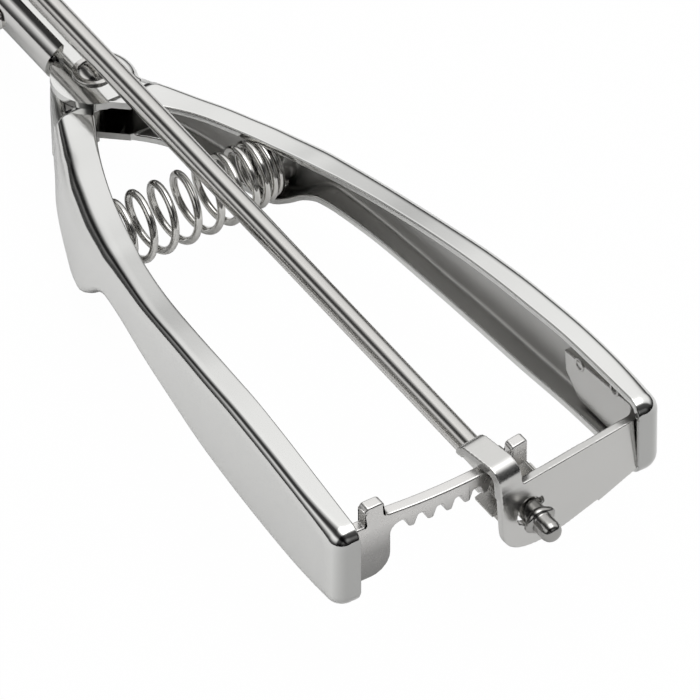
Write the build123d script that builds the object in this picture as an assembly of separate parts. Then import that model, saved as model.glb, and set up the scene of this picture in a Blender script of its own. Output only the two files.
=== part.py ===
from build123d import *
import math
import os

# Lever ice cream scoop: squeezing the moving handle drives a rack over a pinion on the
# scraper rod, and the rod turns a thin band through the hemispherical bowl.
#
# Millimetres. X runs along the scraper rod from the bowl to the gear end, Y points to
# the fixed handle and Z up. While the pieces are made, the pivot rivet's axis is the Z
# axis and the rod's axis runs along X, off the datum by rod_y and rod_z. The finished
# pieces are all moved together so that the origin is the middle of the bottom of the
# bounding box.

# ------------------------------------------------------------------ clearances
running_fit = 0.05      # radial, between a turning shaft and its hole
seat_fit = 0.02         # radial, between a fixed pin and its hole
pivot_gap = 0.10        # between the lapped ears of the two handles
wall_gap = 0.35         # between the scraper band and the bowl
shaft_end_gap = 0.5     # between a turning piece and a plate beside it
slot_gap = 0.15         # round the rod's wings in the plate's notches
spring_end_gap = 0.4    # between the spring's end coils and the handles' walls

# ------------------------------------------------------------------ handles
handle_sheet = 1.5
handle_end = 146.3      # outer face of the end walls
shoulder_radius = 2.4   # round between a handle's outer wall and its flanges
handle_skew = 0.033     # both handles lean to -Y by this much for each unit of X
end_wall_setback = 0.2  # the end wall's free edge lies this far outside the flange's

# Stations along the handles, each offset from the skewed centre line: X, outer wall of
# the moving and the fixed handle, edge of their flanges, top face, both bottom faces.
handle_stations = [
    (16.0, 16.2, 14.1, 8.0, 6.9, -6.7, -18.8, -16.8),
    (22.0, 18.8, 17.0, 11.0, 10.6, -6.1, -19.3, -18.0),
    (28.0, 21.0, 19.6, 13.3, 13.3, -5.65, -20.0, -19.3),
    (33.0, 22.6, 21.7, 15.2, 15.3, -5.2, -20.3, -19.9),
    (37.0, 23.7, 23.0, 16.5, 16.6, -4.7, -19.2, -19.2),
    (41.0, 24.8, 24.2, 17.7, 17.8, -4.05, -16.8, -16.6),
    (45.0, 25.8, 25.2, 18.8, 18.8, -3.3, -13.8, -13.2),
    (49.0, 26.6, 26.0, 19.8, 19.8, -2.6, -12.2, -11.3),
    (54.0, 27.5, 26.8, 21.2, 20.9, -1.6, -11.5, -10.8),
    (66.0, 29.5, 28.4, 23.6, 22.9, 0.9, -11.0, -10.3),
    (80.0, 31.3, 29.7, 25.6, 24.3, 4.1, -10.8, -9.7),
    (94.0, 32.9, 31.1, 27.0, 25.5, 6.8, -10.6, -9.1),
    (108.0, 34.0, 32.3, 28.1, 26.6, 8.7, -10.3, -8.6),
    (124.0, 35.0, 33.7, 29.3, 28.2, 9.6, -9.6, -8.1),
    (handle_end, 36.0, 35.0, 30.6, 29.6, 9.8, -8.2, -7.5),
]
ear_top = -7.0          # top face of the fixed handle's upper ear
fixed_ear_bottom = -16.2
ear_radius = 8.3
ear_offset = 0.6        # the ear's round is centred this far in front of the rivet
inner_ear_radius = 5.8  # an ear that lies inside the other handle's wall
lower_ear_radius = 6.5
ear_front_x = 3.8       # front corner of the fixed handle's ears
ear_front_y = -7.4
neck_notch_radius = 1.6
neck_x = 11.0           # the ears end and the arms begin here
fixed_neck_wall = 11.5
moving_neck_wall = 13.5
fixed_neck_angle = 62.0     # where on the ear's round the wall starts, from +X
moving_neck_angle = 118.0
neck_edge = 1.5
inner_ear_setback = 3.0 # the moving handle's upper flange starts further out by this
ear_round = 2.4         # round between the ears and the wall that joins them
end_round = 2.1         # round between a flange and the end wall
ear_web_inset = 2.0     # the fixed ears are open on this side of the rivet
arm_spans = 24

# ------------------------------------------------------------------ pivot
rivet_radius = 2.25
rivet_head_radius = 3.0
rivet_head_height = 1.5
washer_radius = 3.9
washer_thickness = 0.5

# ------------------------------------------------------------------ shank
sleeve_radius = 5.5
sleeve_sheet = 0.9
sleeve_axis_z = -9.0
sleeve_end_top = -6.5   # the sleeve's end is cut on a slant between these two
sleeve_end_bottom = -9.0
sleeve_slot = 5.0       # open strip along the top
sleeve_curl = 0.9       # the slot's edges are turned in by this much
tang_width = 7.2
tang_depth = 4.5
tang_sheet = 1.2
tang_length = 30.0
tang_rivet_x = -24.5
tang_rivet_radius = 1.2
tang_rivet_head = 2.2
tang_rivet_head_height = 0.8
braze_width = 0.8
braze_height = 0.7

# ------------------------------------------------------------------ bowl, scraper
bowl_radius = 25.0
bowl_sheet = 0.9
bowl_x = -58.0
rim_height = 3.5
band_width = 9.0
band_sheet = 0.8
band_rest_angle = 8.0   # below the rim plane, on the fixed handle's side
hub_radius = 3.4
hub_length = 3.2
hub_pin_radius = 0.6
stub_radius = 1.6
stub_head_radius = 3.0
stub_head_height = 1.0

# ------------------------------------------------------------------ rod, gears
rod_radius = 2.3
rod_y = -0.5            # the rod's axis lies off the handles' datum by these two
rod_z = -0.5
nose_reach = 8.2        # from the front plate to the rod's tip
wing_gap = 2.2          # from the front plate to the wings
wing_length = 1.5
wing_reach = 3.1
wing_thickness = 1.1
wing_angle = 20.0
gear_module = 1.25
pinion_teeth = 8
backlash = 0.62         # along the pitch line, shared by rack and pinion
flank_angle = 20.0
tooth_addendum = 1.15
tooth_dedendum = 1.5
pinion_width = 5.6
pinion_gap = 3.6        # from the front plate's face to the pinion
spacer_radius = 3.4

# ------------------------------------------------------------------ rack
rack_sheet = 2.5
rack_setback = 1.5      # the bowed bar's foremost line lies this far inside the end
rack_bow_radius = 118.0
rack_bow_y = -16.0
rack_top = 8.75
rack_tip_z = 3.75
rack_root_z = 5.95
rack_tooth_y = -7.45    # middle of the last tooth but one before the hook
rack_teeth_before = 4   # teeth between that one and the base plate
rack_teeth_after = 1
hook_left = -1.5
hook_right = 2.4
hook_top = 11.3
tab_top = 12.2
tab_left = -33.0
tab_right = -28.8
base_right = -27.5
base_bottom = -4.9
base_corner = 4.0
tab_round = 0.8
weld_radius = 1.7
rack_weld_heights = (-1.5, 4.5)

# ------------------------------------------------------------------ bracket
bracket_sheet = 1.9
bracket_reach = 2.5     # the front face stands this far out of the handles' end
bracket_turn = 8.2      # degrees about Z
bracket_lean = 6.3      # degrees, top edge towards the bowl
plate_top = 6.3
plate_left = -7.1
# The front plate's lower edge, across the rod and up.
plate_curve = [(-7.1, -2.2), (-4.9, -6.6), (0.6, -8.2), (9.0, -7.7), (16.3, -6.6), (25.3, -4.6)]
strap_right = -1.8
strap_top = 11.2
strap_bend = 3.4
leg_weld_places = ((4.5, 1.2), (13.0, 1.6))   # from the leg's back end, and height
bracket_depth = 13.3    # over both plates
rear_bend = 3.0
rear_reach = 5.3        # rear plate's edge beyond the rod's axis
rear_corner = 3.0
leg_bend = 5.0
leg_length = 26.3
leg_flange_gap = 0.35
leg_gap = 0.25          # between the leg and the handle's wall, bridged by the welds
leg_clip = 6.0
leg_clip_height = -7.5  # the slanted cut starts at this height
leg_weld_radius = 1.2
end_wall_gap = 0.2      # between the front plate and the handle's end wall

# ------------------------------------------------------------------ spring
spring_x = 34.0
spring_z = -12.45
coil_radius = 4.95
wire_radius = 0.75
coil_turns = 10
seat_radius = 3.9
seat_height = 3.0

# ------------------------------------------------------------------ derived
bowl_centre = Pos(bowl_x, rod_y, rod_z)
rack_front = handle_end - rack_setback
bracket_front = handle_end + bracket_reach
rear_face = bracket_front - bracket_depth
leg_back = handle_end - leg_length
rod_end = bracket_front + nose_reach
wing_x = bracket_front + wing_gap
pinion_end = bracket_front - pinion_gap
pinion_start = pinion_end - pinion_width
pitch_radius = gear_module * pinion_teeth / 2
pitch = math.pi * gear_module
skin_radius = bowl_radius - bowl_sheet
band_outer = skin_radius - wall_gap
band_inner = band_outer - band_sheet
cap_back = handle_end - end_round - 0.8
hub_end = bowl_x + math.sqrt(band_inner ** 2 - hub_radius ** 2)
inner_ear_top = ear_top - handle_sheet - pivot_gap
ear_bottom = fixed_ear_bottom - handle_sheet - pivot_gap
far = 60.0              # reach of construction blocks beyond the piece they cut


def axle(radius, start, end):
    """Cylinder on the X axis between two stations."""
    return Pos(start, 0, 0) * Rot(0, 90, 0) * Cylinder(
        radius, end - start, align=(Align.CENTER, Align.CENTER, Align.MIN)
    )


def rod_cylinder(radius, start, end):
    """Cylinder on the rod's axis between two X stations."""
    return Pos(0, rod_y, rod_z) * axle(radius, start, end)


def post(radius, bottom, top):
    """Cylinder on the pivot's axis between two heights."""
    return Pos(0, 0, bottom) * Cylinder(
        radius, top - bottom, align=(Align.CENTER, Align.CENTER, Align.MIN)
    )


def block(x0, x1, y0, y1, z0, z1):
    """Box between six coordinates."""
    centre = Pos((x0 + x1) / 2, (y0 + y1) / 2, (z0 + z1) / 2)
    return centre * Box(x1 - x0, y1 - y0, z1 - z0)


def side_y(side, offset, x):
    """Y of a point that lies at this offset from the skewed centre line."""
    return side * offset - handle_skew * x


def neck_row(side):
    """The station where an arm leaves its ears."""
    if side > 0:
        return (neck_x, fixed_neck_wall, neck_edge, ear_top, fixed_ear_bottom)
    return (neck_x, moving_neck_wall, neck_edge + inner_ear_setback, inner_ear_top, ear_bottom)


def handle_rows(side):
    """One handle's stations: X, wall, edge, top and bottom."""
    rows = [neck_row(side)]
    for x, wall, fixed_wall, edge, fixed_edge, high, low, fixed_low in handle_stations:
        if side > 0:
            rows.append((x, fixed_wall, fixed_edge, high, fixed_low))
        else:
            rows.append((x, wall, edge, high, low))
    return rows


def station_value(x, column, side):
    """Value of one station column at any X, on a smooth curve without overshoot."""
    rows = handle_rows(side)
    slopes = [(b[column] - a[column]) / (b[0] - a[0]) for a, b in zip(rows, rows[1:])]
    tangents = [slopes[0]]
    for before, after in zip(slopes, slopes[1:]):
        same_way = before * after > 0
        tangents.append(2 * before * after / (before + after) if same_way else 0.0)
    tangents.append(slopes[-1])
    index = max(i for i in range(len(slopes)) if i == 0 or rows[i][0] <= x)
    span = rows[index + 1][0] - rows[index][0]
    t = (x - rows[index][0]) / span
    return (
        (1 + 2 * t) * (1 - t) ** 2 * rows[index][column]
        + t * (1 - t) ** 2 * span * tangents[index]
        + t ** 2 * (3 - 2 * t) * rows[index + 1][column]
        + t ** 2 * (t - 1) * span * tangents[index + 1]
    )


def wall_at(x, side):
    return station_value(x, 1, side)


def top_at(x):
    return station_value(x, 3, 1)


def station_row(x, side):
    return (x, *[station_value(x, column, side) for column in (1, 2, 3, 4)])


# ------------------------------------------------------------------ handles
def channel_face(side, x, wall, edge, high, low, inset, radius, closed):
    """Upright section of a handle at one station, as a channel or filled."""
    def at(offset, z):
        return (x, side_y(side, offset, x), z)

    wall -= inset
    high -= inset
    low += inset
    bend = radius * (1 - math.sqrt(0.5))
    outline = [
        Line(at(edge, high), at(wall - radius, high)),
        ThreePointArc(at(wall - radius, high), at(wall - bend, high - bend),
                      at(wall, high - radius)),
        Line(at(wall, high - radius), at(wall, low + radius)),
        ThreePointArc(at(wall, low + radius), at(wall - bend, low + bend),
                      at(wall - radius, low)),
        Line(at(wall - radius, low), at(edge, low)),
    ]
    if closed:
        outline.append(Line(at(edge, low), at(edge, high)))
        return make_face(Curve() + outline)
    sheet = handle_sheet
    small = radius - sheet
    notch = small * (1 - math.sqrt(0.5))
    inner = wall - sheet
    outline += [
        Line(at(edge, low), at(edge, low + sheet)),
        Line(at(edge, low + sheet), at(inner - small, low + sheet)),
        ThreePointArc(at(inner - small, low + sheet), at(inner - notch, low + sheet + notch),
                      at(inner, low + sheet + small)),
        Line(at(inner, low + sheet + small), at(inner, high - sheet - small)),
        ThreePointArc(at(inner, high - sheet - small), at(inner - notch, high - sheet - notch),
                      at(inner - small, high - sheet)),
        Line(at(inner - small, high - sheet), at(edge, high - sheet)),
        Line(at(edge, high - sheet), at(edge, high)),
    ]
    return make_face(Curve() + outline)


def arm(side, inset, closed):
    """An arm from the ears to just short of its end wall."""
    step = (cap_back - neck_x) / arm_spans
    rows = [station_row(neck_x + index * step, side) for index in range(arm_spans + 1)]
    radius = shoulder_radius - inset
    sections = [channel_face(side, *row, inset, radius, closed) for row in rows]
    return loft(sections)


def end_cap(side):
    """The closed end of a handle, rounded where it meets the flanges and the wall."""
    back = cap_back
    values = station_row(back, side)[1:]
    outside = channel_face(side, back, *values, 0, shoulder_radius, True)
    along = (1, -handle_skew, 0)
    stretch = math.hypot(1, handle_skew)
    cap = extrude(outside, (handle_end - back) * stretch, dir=along)
    rim = [e for e in cap.edges().group_by(Axis.X)[-1] if not is_free_edge(e, side, values[1])]
    cap = fillet(rim, end_round)
    hollow = channel_face(side, back, values[0], values[1] - 1, *values[2:], handle_sheet,
                          shoulder_radius - handle_sheet, True)
    cap -= extrude(hollow, (handle_end - handle_sheet - back) * stretch, dir=along)
    free = side_y(side, values[1], back)
    setback = free + side * end_wall_setback
    cap -= block(handle_end - end_round, handle_end + 1, min(free - side, setback),
                 max(free - side, setback), -far, far)
    return cap


def is_free_edge(edge, side, offset):
    """True for the straight edge along the handle's open side."""
    return abs(side * edge.center().Y - (offset - handle_skew * handle_end * side)) < 0.3


def ear_plan(side, shrink):
    """Plan of one handle's ears, shrunk all round except at the neck."""
    reach = ear_radius - shrink
    lobe = Pos(ear_offset, 0) * Circle(reach)
    angle = math.radians(fixed_neck_angle if side > 0 else moving_neck_angle)
    start = (ear_offset + reach * math.cos(angle), side * reach * math.sin(angle))
    neck_wall = fixed_neck_wall if side > 0 else moving_neck_wall
    wall = (neck_x, side_y(side, neck_wall - shrink, neck_x))
    if side > 0:
        front = (ear_front_x, ear_front_y)
        web = [front, (neck_x, side_y(side, neck_edge, neck_x)), wall, start]
        plan = lobe + make_face(Polyline(*web, close=True))
        notch = plan.vertices().sort_by_distance(Vector(*start, 0))[0]
        return fillet(notch, neck_notch_radius)
    lobe &= Pos(ear_offset - far, -far - 1) * Rectangle(2 * far, 2 * far)
    edge = (neck_x, side_y(side, neck_edge + inner_ear_setback, neck_x))
    web = [(ear_offset, 0), edge, wall, start]
    return lobe + make_face(Polyline(*web, close=True))


def ears(side, low, high):
    """Upper and lower ear with the wall that joins them on the outer side."""
    own_half = Pos(0, side * far) * Rectangle(4 * far, 2 * far)
    outside = extrude(Pos(0, 0, low) * (ear_plan(side, 0) & own_half), high - low)
    rims = outside.edges().group_by(Axis.Z)
    rounded = [e for e in rims[0] + rims[-1]
               if side * e.center().Y > ear_radius * 0.6 and e.center().X < neck_x - 1]
    outside = fillet(rounded, ear_round)
    core = extrude(Pos(0, 0, low + handle_sheet) * ear_plan(side, handle_sheet),
                   high - low - 2 * handle_sheet)
    open_side = ear_web_inset if side > 0 else 0.0
    reach = far * side
    core += block(-far, neck_x, min(-reach, side * open_side), max(-reach, side * open_side),
                  low + handle_sheet, high - handle_sheet)
    both = outside - core
    other_half = Pos(0, -side * far) * Rectangle(4 * far, 2 * far)
    if side < 0:
        for base in (low, high - handle_sheet):
            both += Pos(0, 0, base) * extrude(Circle(inner_ear_radius), handle_sheet)
        return both
    front = (ear_front_x, ear_front_y)
    web = make_face(Polyline((0, 0), front, (neck_x, side_y(side, neck_edge, neck_x)), close=True))
    for base, reach in ((low, lower_ear_radius), (high - handle_sheet, ear_radius)):
        flat = (Pos(ear_offset, 0) * Circle(reach) + web) & other_half
        both += Pos(0, 0, base) * extrude(flat, handle_sheet)
    return both


def cut_pivot_hole(handle, radius):
    """Drill the ears for the pivot rivet."""
    return handle - post(radius, ear_bottom - 1, ear_top + 1)


def tang():
    """Channel-shaped tongue that reaches from the fixed handle's ear into the sleeve."""
    half = tang_width / 2
    top = block(-tang_length, ear_offset - 2, -half, half, ear_top - handle_sheet, ear_top)
    low = ear_top - tang_depth
    flange_end = -ear_radius - 1
    for edge in (-half, half - tang_sheet):
        top += block(-tang_length, flange_end, edge, edge + tang_sheet, low, ear_top)
    return top


def fixed_handle():
    shell = arm(1, 0, False) + end_cap(1) + ears(1, fixed_ear_bottom, ear_top) + tang()
    shell -= tang_rivet_bore()
    return cut_pivot_hole(shell, rivet_radius + seat_fit)


def moving_handle():
    shell = arm(-1, 0, False) + end_cap(-1) + ears(-1, ear_bottom, inner_ear_top)
    return cut_pivot_hole(shell, rivet_radius + running_fit)


def spring_seat(side):
    """Stud that centres one end of the spring against a handle's wall."""
    near = side_y(side, wall_at(spring_x, side) - handle_sheet, spring_x)
    height = seat_height + 3
    stud = Pos(spring_x, near, spring_z) * Rot(90, 0, 0) * Cylinder(seat_radius, 2 * height)
    room = arm(side, handle_sheet, True)
    stud &= room
    inner_face = near - side * seat_height
    return stud & block(0, far, min(inner_face, side * far), max(inner_face, side * far),
                        -far, far)


# ------------------------------------------------------------------ pivot
def pivot_rivet():
    """Rivet through all four ears, domed over a washer at both ends."""
    top = ear_top + washer_thickness
    bottom = ear_bottom - washer_thickness
    rivet = post(rivet_radius, bottom, top)
    dome = (rivet_head_radius ** 2 + rivet_head_height ** 2) / (2 * rivet_head_height)
    for base, side in ((top, 1), (bottom, -1)):
        cap = Pos(0, 0, base + side * (rivet_head_height - dome)) * Sphere(dome)
        keep = Pos(0, 0, base + side * far / 2) * Box(far, far, far)
        rivet += cap & keep
    return rivet


def pivot_washers():
    """The two flat rings under the rivet's heads."""
    rings = []
    for base in (ear_top, ear_bottom - washer_thickness):
        ring = post(washer_radius, base, base + washer_thickness)
        rings.append(ring - post(rivet_radius + seat_fit, base - 1, base + 2))
    return rings[0] + rings[1]


# ------------------------------------------------------------------ shank
def shank_sleeve():
    """Rolled tube, open along the top, from the ears to the bowl."""
    length = -bowl_x
    tube = Pos(bowl_x, 0, sleeve_axis_z) * Rot(0, 90, 0) * Cylinder(
        sleeve_radius, length, align=(Align.CENTER, Align.CENTER, Align.MIN)
    )
    bore = Pos(bowl_x, 0, sleeve_axis_z) * Rot(0, 90, 0) * Cylinder(
        sleeve_radius - sleeve_sheet, length, align=(Align.CENTER, Align.CENTER, Align.MIN)
    )
    half = sleeve_slot / 2
    slot = block(bowl_x, 0, -half, half, sleeve_axis_z, 0)
    tube = tube - bore - slot
    lip_top = sleeve_axis_z + math.sqrt((sleeve_radius - 0.3) ** 2 - half ** 2)
    for edge in (-half, half - sleeve_sheet):
        lip = block(bowl_x, 0, edge, edge + sleeve_sheet,
                    lip_top - sleeve_sheet - sleeve_curl, lip_top)
        tube += Pos(0, math.copysign(sleeve_sheet * 0.5, edge), 0) * lip
    low = sleeve_axis_z - sleeve_radius
    high = sleeve_axis_z + sleeve_radius
    slant = Plane.XZ * make_face(Polyline(
        (sleeve_end_bottom, low), (sleeve_end_top, high), (far, high + 1), (far, low - 1),
        close=True))
    tube -= extrude(slant, far, both=True)
    tube -= bowl_centre * Sphere(bowl_radius)
    return tube - tang_rivet_bore()


def tang_rivet_bore():
    bore = Cylinder(tang_rivet_radius + seat_fit, 4 * sleeve_radius)
    return Pos(tang_rivet_x, 0, ear_top - tang_depth / 2) * Rot(90, 0, 0) * bore


def tang_rivet():
    """Cross rivet that holds the tang in the sleeve."""
    z = ear_top - tang_depth / 2
    rivet = Pos(tang_rivet_x, 0, z) * Rot(90, 0, 0) * Cylinder(
        tang_rivet_radius, 2 * sleeve_radius)
    for side in (-1, 1):
        place = Pos(tang_rivet_x, side * (sleeve_radius + tang_rivet_head_height / 2), z)
        head = place * Rot(90, 0, 0) * Cylinder(tang_rivet_head, tang_rivet_head_height)
        rivet += chamfer(head.edges().group_by(Axis.Y)[-1 if side > 0 else 0],
                         tang_rivet_head_height * 0.6)
    return rivet


def bowl_braze():
    """Collar of braze where the sleeve meets the bowl."""
    outer = Pos(bowl_x, 0, sleeve_axis_z) * Rot(0, 90, 0) * Cylinder(
        sleeve_radius + braze_width, -bowl_x, align=(Align.CENTER, Align.CENTER, Align.MIN))
    inner = Pos(bowl_x, 0, sleeve_axis_z) * Rot(0, 90, 0) * Cylinder(
        sleeve_radius, -bowl_x, align=(Align.CENTER, Align.CENTER, Align.MIN))
    collar = (outer - inner) & (bowl_centre * Sphere(bowl_radius + braze_height))
    collar -= block(bowl_x, 0, -far, far, sleeve_axis_z + sleeve_radius * 0.8, far)
    return collar - bowl_centre * Sphere(bowl_radius)


# ------------------------------------------------------------------ bowl, scraper
def bowl():
    """Hemisphere with a short straight collar up to its plain rim."""
    outside = bowl_centre * Sphere(bowl_radius) & block(-3 * far, far, -far, far, -far, rod_z)
    inside = bowl_centre * Sphere(skin_radius)
    collar = bowl_centre * Cylinder(bowl_radius, rim_height,
                                    align=(Align.CENTER, Align.CENTER, Align.MIN))
    cup = outside + collar - inside
    cup -= bowl_centre * Cylinder(skin_radius, rim_height + 1,
                                  align=(Align.CENTER, Align.CENTER, Align.MIN))
    cup -= rod_cylinder(rod_radius + running_fit, bowl_x, 0)
    return cup - rod_cylinder(stub_radius + running_fit, bowl_x - 2 * bowl_radius, bowl_x)


def scraper_blade():
    """Half-round band with an eye at each end, lying against the bowl at rest."""
    shell = Sphere(band_outer) - Sphere(band_inner)
    strip = block(-far, far, 0, far, -band_width / 2, band_width / 2)
    eyes = axle(band_width / 2, -far, far)
    band = shell & (strip + eyes)
    band -= axle(rod_radius + seat_fit, 0, far)
    band -= axle(stub_radius + seat_fit, -far, 0)
    return bowl_centre * Rot(-band_rest_angle, 0, 0) * band


def blade_hub():
    """Collar that joins the blade's eye to the rod."""
    collar = rod_cylinder(hub_radius, hub_end - hub_length, hub_end)
    collar -= rod_cylinder(rod_radius + seat_fit, hub_end - 2 * hub_length, hub_end + 1)
    return collar - hub_pin_bore()


def hub_pin_bore():
    x = hub_end - hub_length / 2
    return Pos(x, rod_y, rod_z) * Cylinder(hub_pin_radius + seat_fit, 2 * hub_radius + 1)


def hub_pin():
    """Cross pin through the hub and the rod."""
    x = hub_end - hub_length / 2
    return Pos(x, rod_y, rod_z) * Cylinder(hub_pin_radius, 2 * hub_radius)


def blade_stub():
    """Headed pin that carries the blade's far eye in the bowl's wall."""
    outer_face = -(bowl_radius + wall_gap + stub_head_height)
    pin = axle(stub_radius, outer_face, -band_inner + stub_head_height)
    head = axle(stub_head_radius, outer_face, -skin_radius)
    pin += head - Sphere(bowl_radius + wall_gap)
    inner_head = axle(stub_head_radius - 0.2, -band_outer, -band_inner + stub_head_height)
    pin += inner_head & Sphere(band_inner)
    return bowl_centre * pin


# ------------------------------------------------------------------ rod, gears
def scraper_rod():
    """Rod with a round nose and two crimped wings outside the bracket."""
    start = hub_end - hub_length - 0.5
    rod = rod_cylinder(rod_radius, start, rod_end - rod_radius)
    rod += Pos(rod_end - rod_radius, rod_y, rod_z) * Sphere(rod_radius)
    half = wing_thickness / 2
    wings = block(wing_x, wing_x + wing_length, -wing_reach, wing_reach, -half, half)
    rod += Pos(0, rod_y, rod_z) * Rot(wing_angle, 0, 0) * wings
    return rod - hub_pin_bore()


def tooth(tip, root, tip_half, root_half):
    """Straight-sided tooth between its root line and its tip line."""
    corners = [(-root_half, root), (root_half, root), (tip_half, tip), (-tip_half, tip)]
    if tip < root:
        corners.reverse()
    return Polygon(*corners, align=None)


def pinion():
    """Small spur gear fixed on the rod."""
    slope = math.tan(math.radians(flank_angle))
    half = (pitch - backlash) / 4
    root = pitch_radius - tooth_dedendum
    tip = pitch_radius + tooth_addendum
    one = tooth(tip, root - 1, half - slope * tooth_addendum, half + 0.15)
    face = Circle(root)
    lead = math.degrees((rack_tooth_y - rod_y) % pitch / pitch_radius)
    first = 180 / pinion_teeth - lead
    for index in range(pinion_teeth):
        face += Rot(0, 0, first + 360 * index / pinion_teeth) * one
    face &= Circle(tip)
    face -= Circle(rod_radius + seat_fit)
    return Pos(pinion_start, rod_y, rod_z) * extrude(Plane.YZ * face, pinion_end - pinion_start)


def pinion_spacer():
    """Ring that keeps the pinion off the bracket's rear plate."""
    start = rear_face + bracket_sheet + 2 * shaft_end_gap
    ring = rod_cylinder(spacer_radius, start, pinion_start)
    return ring - rod_cylinder(rod_radius + seat_fit, start - 1, pinion_start + 1)


# ------------------------------------------------------------------ rack
def rack_outline():
    """Rack, its two tabs and its base plate, seen along the rod."""
    slope = math.tan(math.radians(flank_angle))
    pitch_line = rod_z + pitch_radius
    root = rack_root_z
    rise = root - pitch_line + 0.5
    half = (pitch - backlash) / 4
    depth = pitch_line - rack_tip_z
    face = Polygon((base_right - 1, root), (hook_right, root), (hook_right, rack_top),
                   (base_right - 1, rack_top), align=None)
    face += Polygon((hook_left, root), (hook_right, root), (hook_right, hook_top),
                    (hook_left, hook_top), align=None)
    base_left = side_y(-1, wall_at(handle_end, -1) - handle_sheet - 1.0, handle_end)
    under_flange = top_at(handle_end) - handle_sheet - 0.3
    face += Polygon((base_left, base_bottom), (base_right, base_bottom), (base_right, rack_top),
                    (tab_right, rack_top), (tab_right, tab_top), (tab_left, tab_top),
                    (tab_left, under_flange), (base_left, under_flange), align=None)
    one = tooth(-depth, rise, half - slope * depth, half + slope * rise)
    for index in range(-rack_teeth_before, rack_teeth_after + 1):
        face += Pos(rack_tooth_y + index * pitch, pitch_line) * one
    corner = face.vertices().sort_by_distance(Vector(base_right, base_bottom, 0))[0]
    face = fillet(corner, base_corner)
    tops = [v for v in face.vertices() if v.Y > hook_top - 0.01]
    return fillet(tops, tab_round)


def rack():
    """Bowed toothed bar; its base stands inside the moving handle's end."""
    start = handle_end - 15
    bar = Pos(start, 0, 0) * extrude(Plane.YZ * rack_outline(), 20)
    centre = (rack_front - rack_bow_radius, rack_bow_y)
    band = Pos(*centre) * (Circle(rack_bow_radius) - Circle(rack_bow_radius - rack_sheet))
    band &= Pos(rack_front, base_right + far) * Rectangle(far, 2 * far)
    front = bow_front(base_right)
    flat = Pos(front - rack_sheet / 2, base_right - far / 2) * Rectangle(rack_sheet, far)
    blank = extrude(Pos(0, 0, -far) * (band + flat), 2 * far)
    return bar & blank


def bow_front(y):
    """X of the bowed bar's front face at this Y."""
    centre_x = rack_front - rack_bow_radius
    return centre_x + math.sqrt(rack_bow_radius ** 2 - (y - rack_bow_y) ** 2)


def rack_welds():
    """Weld nuggets between the rack's base and the end wall."""
    front = bow_front(base_right)
    depth = handle_end - handle_sheet - front
    y = side_y(-1, wall_at(handle_end, -1) - handle_sheet - weld_radius - 0.4, handle_end)
    nuggets = []
    for z in rack_weld_heights:
        nuggets.append(Pos(0, y, z) * rod_cylinder(weld_radius * 0.8, front, front + depth))
    return nuggets[0] + nuggets[1]


# ------------------------------------------------------------------ bracket
def bracket_frame():
    return Pos(bracket_front, 0, 0) * Rot(0, -bracket_lean, 0)


def leg_outer(x):
    """Y of the leg's outer face beside the fixed handle's wall."""
    return side_y(1, wall_at(x, 1) - handle_sheet - leg_gap, x)


def bracket_sheet_solid():
    """Front plate and leg: one bent strip, leaning with the plate."""
    turn = math.tan(math.radians(bracket_turn))
    back = leg_back - bracket_front
    front_y = leg_outer(handle_end - 4)
    back_y = leg_outer(leg_back)
    corner = (-turn * front_y, front_y)
    outer = FilletPolyline((-turn * plate_left, plate_left), corner, (back, back_y),
                           radius=leg_bend)
    inner_corner = (corner[0] - bracket_sheet * 1.0, front_y - bracket_sheet)
    inner = FilletPolyline(
        (-turn * plate_left - bracket_sheet, plate_left),
        (inner_corner[0] + turn * bracket_sheet, inner_corner[1]),
        (back, back_y - bracket_sheet), radius=leg_bend - bracket_sheet)
    face = make_face(Curve() + [outer, inner, Line(outer @ 0, inner @ 0),
                                Line(outer @ 1, inner @ 1)])
    return extrude(Pos(0, 0, -far) * face, 2 * far)


def plate_outline():
    """Front plate's outline across the rod."""
    start = (plate_left, plate_curve[0][1])
    end = plate_curve[-1]
    curve = Spline(start, *plate_curve[1:], tangents=[(0, -1), (1, 0.25)])
    edge = Polyline(end, (far, end[1]), (far, plate_top), (plate_left, plate_top), start)
    return make_face(Curve() + [curve, edge])


def strap_section():
    """Side view of the strap that joins the front and rear plates."""
    lean = math.tan(math.radians(bracket_lean))
    rear = rear_face - bracket_front
    outer = make_face(Polyline((0, 0), (-lean * strap_top, strap_top), (rear, strap_top),
                               (rear, -far), (lean * far, -far), close=True))
    tops = outer.vertices().sort_by(Axis.Y)[-2:].sort_by(Axis.X)
    outer = fillet(tops[0], rear_bend)
    front_top = outer.vertices().sort_by_distance(Vector(-lean * strap_top, strap_top, 0))[0]
    outer = fillet(front_top, strap_bend)
    inner = offset(outer, -bracket_sheet, kind=Kind.INTERSECTION)
    return outer - inner


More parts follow.
